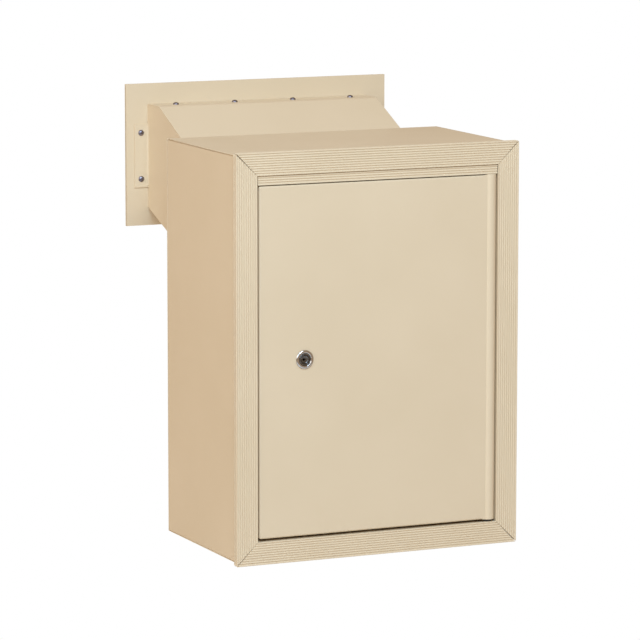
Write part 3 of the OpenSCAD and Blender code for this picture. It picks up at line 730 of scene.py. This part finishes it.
# %% Fold the tray
def door_tray():
    """The folded skin, with a tongue that reaches into the barrel along the hinge side."""
    skin_y = front + DOOR_RECESS
    end_x = rod_axis.x - ROLL_R - TONGUE
    bm = box_shape(Vector((low["door_panel"].x, skin_y, door_foot)),
                   Vector((end_x, skin_y + DOOR_FOLD, door_head)))
    gone = [face for face in bm.faces if face.normal.y > 0.5 or face.normal.x > 0.5]
    bmesh.ops.delete(bm, geom=gone, context="FACES")
    side = [edge for edge in bm.edges if edge.is_boundary
            and all(vert.co.x > end_x - WELD and vert.co.y < skin_y + WELD for vert in edge.verts)]
    grown = bmesh.ops.extrude_edge_only(bm, edges=side)["geom"]
    moved = [item for item in grown if isinstance(item, bmesh.types.BMVert)]
    bmesh.ops.translate(bm, vec=X * (rod_axis.x - ROLL_R / 2 - end_x), verts=moved)
    bends = [edge for edge in bm.edges if edge.is_manifold and edge.calc_face_angle(0) > 1]
    rounded(bm, bends, DOOR_BEND_R, DOOR_BEND_STEPS)
    bmesh.ops.recalc_face_normals(bm, faces=bm.faces)
    skin = max(bm.faces, key=lambda face: face.calc_area())
    if skin.normal.y > 0:
        bmesh.ops.reverse_faces(bm, faces=bm.faces)
    bmesh.ops.solidify(bm, geom=bm.faces[:], thickness=DOOR_T)
    return bm


# %% Roll the barrel, join it and drill the lock's hole
BODY_R, BODY_PLAY, BODY_STEPS = 9.5 * MM, 0.1 * MM, 64
lock_axis = axis_at["lock_turn"]
barrel_outline = ring(BORE_R, ROLL_R, low["door_panel"].z, high["door_panel"].z, BARREL_EDGE)
barrel = turned(barrel_outline, hinge_line, Z, LARGE_STEPS)
door = carved(door_tray(), rods([hinge_line], Z, SLEEVE_R, WHOLE_DOOR))
door = carved(door, barrel, "UNION")
lock_place = Vector((lock_axis.x, front, lock_axis.z))
door = carved(door, rods([lock_place], Y, BODY_R + BODY_PLAY, THROUGH, BODY_STEPS))
piece("door_skin", door, "door", "powder_coat", "door_panel")

# %% [markdown]
# ## The hinge
# A steel rod stands in two flanged nylon bushings, one in the frame's foot and one in a small
# bracket under the header, and a push-on ring keeps it from dropping. All are lathe work.


# %% Rod, ring and bushings
def pin(radius, start, end, edge):
    """Outline of a plain pin with chamfered ends, as (radius, distance) points."""
    return [(0, start), (radius - edge, start), (radius, start + edge),
            (radius, end - edge), (radius - edge, end), (0, end)]


PIN_EDGE, RING_EDGE, GRIP = 0.6 * MM, 0.3 * MM, 0.02 * MM
SMALL_STEPS = 48
rod_outline = pin(ROD_R, low["hinge_rod"].z, high["hinge_rod"].z, PIN_EDGE)
rod = turned(rod_outline, hinge_line, Z, SMALL_STEPS)
piece("hinge_rod_steel", rod, "locker", "zinc_steel", "hinge_rod")
RETAINER_R = high["rod_retainer"].x - rod_axis.x
retainer_outline = ring(ROD_R + GRIP, RETAINER_R, low["rod_retainer"].z, high["rod_retainer"].z, RING_EDGE)
retainer = turned(retainer_outline, hinge_line, Z, SMALL_STEPS)
piece("rod_retainer_ring", retainer, "locker", "zinc_steel", "rod_retainer")

# %% Bushings
neck = SLEEVE_R - PLAY
by_height = sorted(solid_boxes("hinge_bushings"), key=lambda box: box[0].z)
(foot_lo, foot_hi), (head_lo, head_hi) = by_height
flange = RETAINER_R - RING_EDGE
frame_floor = foot_lo.z + METAL_T
foot = [(BORE_R, foot_lo.z), (neck, foot_lo.z), (neck, frame_floor), (RETAINER_R, frame_floor)]
foot += arc((flange, foot_hi.z - RING_EDGE), RING_EDGE, 0, 90, 3) + [(BORE_R, foot_hi.z)]
foot_bushing = turned(foot, hinge_line, Z, SMALL_STEPS)
piece("foot_bushing", foot_bushing, "locker", "nylon", "hinge_bushings")
bracket_z = low["top_hinge_bracket"].z
head = [(BORE_R, head_lo.z)] + arc((flange, head_lo.z + RING_EDGE), RING_EDGE, -90, 0, 3)
head += [(RETAINER_R, bracket_z), (neck, bracket_z), (neck, head_hi.z), (BORE_R, head_hi.z)]
head_bushing = turned(head, hinge_line, Z, SMALL_STEPS)
piece("head_bushing", head_bushing, "locker", "nylon", "hinge_bushings")

# %% Bracket, corner keys and mounting angle
for node in ("top_hinge_bracket", "corner_keys", "mounting_angle"):
    piece(node + "_steel", softened(node, 0.3 * MM), "locker", "zinc_steel", node)

# %% [markdown]
# ## The cam lock
# The lock's face is the only bright spot on the object. Its bezel is a domed ring, which
# gives a chrome face its dark and light bands. Behind the door the body is threaded for a
# hexagonal nut, and the cam is held on a square tang by a washer and a screw.


# %% Bezel and threaded body
CREST = 0.15


def thread(radius, start, end, pitch, depth):
    """Outline points of a row of rings that stands for a fine thread."""
    points = []
    for i in range(int((end - start) / pitch)):
        at = start + i * pitch
        points += [(radius, at + CREST * pitch), (radius - depth, at + pitch / 2),
                   (radius, at + (1 - CREST) * pitch)]
    return points


BEZEL_R = high["lock_housing"].x - lock_axis.x
PLUG_R, MOAT_R, CROWN_R, RIM_R = 6.5 * MM, 7.7 * MM, 8.7 * MM, 10.3 * MM
BODY_PITCH, BODY_THREAD, BODY_CHAMFER = 1 * MM, 0.45 * MM, 0.5 * MM
FACE, BODY_END = low["lock_housing"].y, high["lock_housing"].y
skin_face = front + DOOR_RECESS
inner = PLUG_R + PLAY
undercut = BEZEL_R - 0.7 * MM
# From the plug outwards, as (radius, millimetres behind the face).
CROWN = [(inner, 1.6), (inner + 0.3 * MM, 1.6), (MOAT_R - 0.2 * MM, 0.9), (MOAT_R, 0.4),
         (MOAT_R + 0.4 * MM, 0.1), (CROWN_R, 0), (RIM_R - 0.8 * MM, 0.05), (RIM_R, 0.35),
         (BEZEL_R - 0.25 * MM, 0.8), (BEZEL_R, 1.3), (BEZEL_R - 0.1 * MM, 1.55), (undercut, 1.6)]
bezel = [(radius, FACE + behind * MM) for radius, behind in CROWN]
bezel += [(undercut, skin_face), (BODY_R, skin_face), (BODY_R, skin_face + DOOR_T)]
bezel += thread(BODY_R, skin_face + DOOR_T, BODY_END - BODY_CHAMFER, BODY_PITCH, BODY_THREAD)
bezel += [(BODY_R - BODY_CHAMFER, BODY_END), (inner, BODY_END)]
plug_line = Vector((lock_axis.x, 0, lock_axis.z))
housing = turned(bezel, plug_line, Y, LARGE_STEPS)
piece("lock_bezel", housing, "door", "bright_plate", "lock_housing")

# %% Turn the plug and join its square tang
PLUG_FACE, PLUG_END = low["lock_plug"].y, high["lock_plug"].y
DISH_R, DISH_DEPTH, DISH_STEP = 4.2 * MM, 0.9 * MM, 15
TANG, TANG_EDGE, TANG_ROOT = 6 * MM, 0.4 * MM, 1 * MM
angles = [math.radians(degrees) for degrees in range(0, 91, DISH_STEP)]
outline = [(DISH_R * math.sin(a), PLUG_FACE + DISH_DEPTH * math.cos(a)) for a in angles]
outline += [(DISH_R + 0.3 * MM, PLUG_FACE), (DISH_R + 0.7 * MM, PLUG_FACE + 0.5 * MM),
            (DISH_R + 1.1 * MM, PLUG_FACE + 0.5 * MM), (DISH_R + 1.4 * MM, PLUG_FACE),
            (PLUG_R - 0.3 * MM, PLUG_FACE), (PLUG_R, PLUG_FACE + 0.3 * MM),
            (PLUG_R, BODY_END), (0, BODY_END)]
plug = turned(outline, plug_line, Y, LARGE_STEPS)
tang = box_shape(Vector((lock_axis.x - TANG / 2, BODY_END - TANG_ROOT, lock_axis.z - TANG / 2)),
                 Vector((lock_axis.x + TANG / 2, PLUG_END, lock_axis.z + TANG / 2)))
rounded(tang, sharp_edges(tang, TANG / 2), TANG_EDGE)
plug = carved(plug, tang, "UNION")

# %% Cut the keyway with its ward, and the hole for the cam's screw
KEY_DEPTH, CAM_SCREW_HOLE = 9 * MM, 16 * MM


def key_cut(left, foot, right, head):
    """A cutter for part of the keyway, given in millimetres about the plug's centre."""
    centre = Vector((lock_axis.x, PLUG_FACE, lock_axis.z))
    return box_shape(centre + Vector((left * MM, -1 * MM, foot * MM)),
                     centre + Vector((right * MM, KEY_DEPTH, head * MM)))


plug = carved(plug, key_cut(-2.7, -1.3, -0.4, 1.5))
plug = carved(plug, key_cut(-0.9, -0.6, 1.1, 0.3))
tip = Vector((lock_axis.x, PLUG_END, lock_axis.z))
plug = carved(plug, rods([tip], Y, THIN_SCREW_HOLE_R, CAM_SCREW_HOLE))
# The plug gets the painted dark metal: its low base colour is painted reflection, in place of the dark
# reflections on its face.
piece("lock_plug_face", plug, "lock_barrel", "bright_plate", "lock_plug", finish="painted_dark_plate")

# %% Nut, cam and washer
NUT_HALF = (high["lock_nut"].x - low["lock_nut"].x) / 2
NUT_EDGE, CAM_EDGE, WASHER_EDGE, WASHER_BORE_R = 0.5 * MM, 0.3 * MM, 0.2 * MM, 1.6 * MM
nut_mid = (low["lock_nut"] + high["lock_nut"]) / 2
nut_t = high["lock_nut"].y - low["lock_nut"].y
aim = Matrix.Translation(nut_mid) @ Z.rotation_difference(Y).to_matrix().to_4x4()
flats_upright = Matrix.Rotation(math.radians(30), 4, "Z")
nut = bmesh.new()
bmesh.ops.create_cone(nut, cap_ends=True, segments=6, radius1=NUT_HALF, radius2=NUT_HALF,
                      depth=nut_t, matrix=aim @ flats_upright)
rounded(nut, sharp_edges(nut, nut_t * 1.5), NUT_EDGE)
nut = carved(nut, rods([nut_mid], Y, BODY_R + PLAY, THROUGH, BODY_STEPS))
piece("lock_nut_hex", nut, "door", "zinc_steel", "lock_nut")
piece("lock_cam_arm", softened("lock_cam", CAM_EDGE), "lock_barrel", "zinc_steel", "lock_cam")
WASHER_R = (high["cam_washer"].x - low["cam_washer"].x) / 2
washer_outline = ring(WASHER_BORE_R, WASHER_R, low["cam_washer"].y, high["cam_washer"].y, WASHER_EDGE)
washer = turned(washer_outline, plug_line, Y, SMALL_STEPS)
piece("cam_washer_ring", washer, "lock_barrel", "zinc_steel", "cam_washer")

# %% [markdown]
# ## Screws and rivets
# A pan-head screw is a domed head over a threaded shank. One screw of each size is turned,
# its cross recess is cut, and copies go to each place, each with the cross at another angle,
# since nobody lines up their screw heads.

# %% Make one screw, then place copies
SCREW_STEPS, DOME_STEP = 24, 8
SCREW_PITCH, SCREW_THREAD, PLAIN_NECK, TIP = 0.8 * MM, 0.3 * MM, 0.3 * MM, 0.6 * MM
FIRST_TURN, NEXT_TURN = 25, 47


def pan_screw(shank_r, length, head_r, head_h):
    """A screw whose head's underside is at the origin, with its shank along -Z."""
    dome = head_r * 1.35
    angles = [math.radians(degrees) for degrees in range(0, 91, DOME_STEP)]
    outline = [(dome * math.sin(a), head_h - dome + dome * math.cos(a))
               for a in angles if dome * math.sin(a) < head_r * 0.97]
    outline += [(head_r, head_h * 0.3), (head_r, 0), (shank_r, 0)]
    ridges = thread(shank_r, PLAIN_NECK, length - TIP, SCREW_PITCH, SCREW_THREAD)
    outline += [(radius, -along) for radius, along in ridges]
    outline += [(shank_r * 0.6, -length), (0, -length)]
    bm = turned(outline, Vector(), Z, SCREW_STEPS)
    arm = Vector((head_r * 0.48, head_r * 0.11, head_h * 0.55))
    for across in (arm, Vector((arm.y, arm.x, arm.z))):
        bm = carved(bm, box_shape(Z * head_h - across, Z * head_h + across))
    return bm


def placed_screws(node, aim_at, shank_r, head_h):
    """Copies of one screw at each loose solid of a node, heads towards a direction."""
    axis = max(range(3), key=lambda i: abs(aim_at[i]))
    boxes = solid_boxes(node)
    size = boxes[0][1] - boxes[0][0]
    head_r = max(size[i] for i in range(3) if i != axis) / 2
    pattern = pan_screw(shank_r, size[axis] - head_h, head_r, head_h)
    mesh = bpy.data.meshes.new("pattern")
    pattern.to_mesh(mesh)
    pattern.free()
    bm = bmesh.new()
    for i, (lo, hi) in enumerate(boxes):
        seat = (lo + hi) / 2
        seat[axis] = hi[axis] - head_h if aim_at[axis] > 0 else lo[axis] + head_h
        before = set(bm.verts)
        bm.from_mesh(mesh)
        new = [vert for vert in bm.verts if vert not in before]
        turn = Matrix.Rotation(math.radians(FIRST_TURN + NEXT_TURN * i), 4, "Z")
        aim = Z.rotation_difference(aim_at).to_matrix().to_4x4()
        bmesh.ops.transform(bm, matrix=Matrix.Translation(seat) @ aim @ turn, verts=new)
    bpy.data.meshes.remove(mesh)
    return bm


# Where each head points, its shank's radius and its head's height in millimetres, and its body.
SCREWS = {
    "frame_screws": (Y, 2.0, 2.4, "locker"), "tab_screws": (-Y, 2.0, 2.4, "locker"),
    "ledge_screws": (Z, 2.0, 2.8, "locker"), "angle_screws": (-Y, 2.0, 2.4, "locker"),
    "bracket_screws": (-X, 1.5, 1.4, "locker"), "flap_bracket_screws": (Y, 1.5, 1.8, "locker"),
    "cam_screw": (Y, 1.5, 2.0, "lock_barrel"),
}
for node, (aim_at, shank_r, head_h, body) in SCREWS.items():
    screws = placed_screws(node, aim_at, shank_r * MM, head_h * MM)
    piece(node + "_pan", screws, body, "zinc_steel", node)

# %% Rivets of the header strip
RIVET_R, FLARE_R, RIVET_HEAD_H, FLARE_H = 1.6 * MM, 2.3 * MM, 1.1 * MM, 1 * MM


def header_rivets():
    """A domed rivet at each place, with its tail flared above the frame's wall."""
    bm = bmesh.new()
    for lo, hi in solid_boxes("header_rivets"):
        head_r, neck_z, flare_z = (hi.x - lo.x) / 2, lo.z + RIVET_HEAD_H, hi.z - FLARE_H
        centre = (lo + hi) / 2
        outline = [(0, lo.z), (head_r * 0.5, lo.z + 0.1 * MM), (head_r * 0.85, lo.z + 0.5 * MM),
                   (head_r, neck_z), (RIVET_R, neck_z), (RIVET_R, flare_z), (FLARE_R, flare_z),
                   (FLARE_R * 0.9, hi.z - 0.3 * MM), (0, hi.z)]
        rivet = turned(outline, Vector((centre.x, centre.y, 0)), Z, SCREW_STEPS)
        mesh = bpy.data.meshes.new("rivet")
        rivet.to_mesh(mesh)
        rivet.free()
        bm.from_mesh(mesh)
        bpy.data.meshes.remove(mesh)
    return bm


piece("header_rivet_heads", header_rivets(), "locker", "zinc_steel", "header_rivets")

# %% [markdown]
# ## The outdoor flap and its seal
# Outside, a flap hangs from a rod in two ears and closes the slot against a rubber seal. Like
# the door it is a folded tray with a rolled edge, here with a lip below to lift it by.

# %% Seal, rod and flap
SEAL_EDGE, FLAP_EDGE, SOFT_STEPS = 0.35 * MM, 0.5 * MM, 3
seal = softened("slot_seal", SEAL_EDGE, SOFT_STEPS)
piece("slot_seal_strip", seal, "locker", "seal_rubber", "slot_seal")
FLAP_ROD_R, KNOB_R, KNOB_CROWN_R, KNOB_H = 2 * MM, 3.2 * MM, 2.6 * MM, 1.7 * MM
rod_end = high["flap_hinge_rod"].x
headed = [(0, -rod_end), (KNOB_CROWN_R, -rod_end), (KNOB_R, -rod_end + 0.5 * MM),
          (KNOB_R, -rod_end + KNOB_H), (FLAP_ROD_R, -rod_end + KNOB_H)]
headed += [(radius, -along) for radius, along in reversed(headed)]
flap_rod = turned(headed, Vector((0, axis_at["flap_hinge"].y, axis_at["flap_hinge"].z)), X, 40)
piece("flap_rod_steel", flap_rod, "locker", "zinc_steel", "flap_hinge_rod")
flap = softened("intake_flap", FLAP_EDGE, SOFT_STEPS)
piece("intake_flap_sheet", flap, "flap", "powder_coat", "intake_flap")

# %% [markdown]
# ## Camera
# The camera looks from the left and a little above, through a long lens, so that the box
# stays almost free of perspective. It aims at a point given from the locker's own origin.

# %% Place the camera
CAMERA_TURN, CAMERA_TILT = math.radians(24.33), math.radians(8.54)
CAMERA_ROLL = math.radians(0.035)
CAMERA_DISTANCE = 4.8657
ASIDE, UPWARD = 0.0203, 0.00826
LENS, SENSOR, SIGHT = 224.139375, 36, 50


def aim_camera():
    """Stand the camera back from a point a little aside of the origin, and look along it."""
    ahead = Vector((math.sin(CAMERA_TURN) * math.cos(CAMERA_TILT),
                    math.cos(CAMERA_TURN) * math.cos(CAMERA_TILT), -math.sin(CAMERA_TILT)))
    right = Vector((math.cos(CAMERA_TURN), -math.sin(CAMERA_TURN), 0))
    right = Matrix.Rotation(-CAMERA_ROLL, 3, ahead) @ right
    up = right.cross(ahead)
    camera = bpy.data.objects.new("camera", bpy.data.cameras.new("camera"))
    bpy.context.scene.collection.objects.link(camera)
    turn = Matrix((right, up, -ahead)).transposed().to_4x4()
    place = right * ASIDE + up * UPWARD - ahead * CAMERA_DISTANCE
    camera.matrix_world = Matrix.Translation(place) @ turn
    camera.data.lens = LENS
    camera.data.sensor_width = SENSOR
    camera.data.clip_end = SIGHT
    bpy.context.scene.camera = camera
    print("camera at", tuple(round(v, 3) for v in camera.location))


aim_camera()

# %% [markdown]
# ## Studio
# The light is soft and comes from everywhere: a weak warm glow all round, and four large
# panels. The key stands in front and high up, the fill to the left, the side panel lights the
# locker's left skin, and the back panel gives the sheets behind some shape. The backdrop is
# plain white, and a pale round floor lies well below, out of the main view.


# %% Backdrop and glow
BACKDROP, GLOW, GLOW_TINT = 1.0, 0.49, (1.0, 0.72, 0.48)


def white_world(backdrop, strength, tint):
    """A white backdrop for the camera, which lights the object with a softer, warmer glow."""
    world = bpy.data.worlds.new("studio")
    world.use_nodes = True
    nodes, links = world.node_tree.nodes, world.node_tree.links
    glow = nodes["Background"]
    glow.inputs["Color"].default_value = (*tint, 1)
    glow.inputs["Strength"].default_value = strength
    plain = nodes.new("ShaderNodeBackground")
    plain.inputs["Color"].default_value = (1, 1, 1, 1)
    plain.inputs["Strength"].default_value = backdrop
    path = nodes.new("ShaderNodeLightPath")
    mix = nodes.new("ShaderNodeMixShader")
    links.new(path.outputs["Is Camera Ray"], mix.inputs["Fac"])
    links.new(glow.outputs["Background"], mix.inputs[1])
    links.new(plain.outputs["Background"], mix.inputs[2])
    links.new(mix.outputs["Shader"], nodes["World Output"].inputs["Surface"])
    bpy.context.scene.world = world


white_world(BACKDROP, GLOW, GLOW_TINT)
print("backdrop", BACKDROP, "glow", GLOW)

# %% Light panels
PANEL_DISTANCE = 3.2
COOL, WARM = (0.6, 0.8, 1.0), (1.0, 0.94, 0.87)
# Each panel's direction from the locker, its side in metres, its power in watts and its tint.
PANELS = {
    "key": ((-0.15, -0.72, 0.68), 1.4, 66, COOL),
    "fill": ((-0.527, -0.713, 0.46), 2.2, 37, COOL),
    "side": ((-0.9, -0.2, 0.38), 1.6, 25, WARM),
    "back": ((0.88, 0.45, -0.15), 2.2, 30, COOL),
}


def panel_light(name, direction, size, power, tint):
    """A square light panel that faces the middle of the locker."""
    light = bpy.data.lights.new(name, "AREA")
    light.shape, light.size, light.energy, light.color = "SQUARE", size, power, tint
    obj = bpy.data.objects.new(name, light)
    bpy.context.scene.collection.objects.link(obj)
    obj.location = Vector(direction) * PANEL_DISTANCE
    obj.rotation_euler = (-obj.location).to_track_quat("-Z", "Y").to_euler()


for name, setting in PANELS.items():
    panel_light(name, *setting)
bpy.context.scene.view_settings.view_transform = "Standard"
print("panels:", list(PANELS))

# %% Floor
FLOOR_DROP, FLOOR_R, FLOOR_GRAIN = 0.6, 1.9, 3


def pale_floor():
    """A round, matt floor well below the locker, which isn't part of the object."""
    bm = bmesh.new()
    level = cad_bounds[0].z - FLOOR_DROP
    bmesh.ops.create_circle(bm, cap_ends=True, segments=128, radius=FLOOR_R,
                            matrix=Matrix.Translation((0, 0, level)))
    mesh = bpy.data.meshes.new("floor")
    bm.to_mesh(mesh)
    bm.free()
    floor = bpy.data.objects.new("floor", mesh)
    bpy.context.scene.collection.objects.link(floor)
    material, nodes, links, shader, place = new_material("floor")
    grain = noise(nodes, links, place, FLOOR_GRAIN)
    links.new(tinted(nodes, links, grain, (0.86, 0.86, 0.855), (0.88, 0.88, 0.875)),
              shader.inputs["Base Color"])
    shader.inputs["Roughness"].default_value = 0.9
    mesh.materials.append(material)


pale_floor()

# %% [markdown]
# ## The box of the frame is printed.

# %% Print the frame's box
print("CAD box", [tuple(round(c, 4) for c in v) for v in cad_bounds])
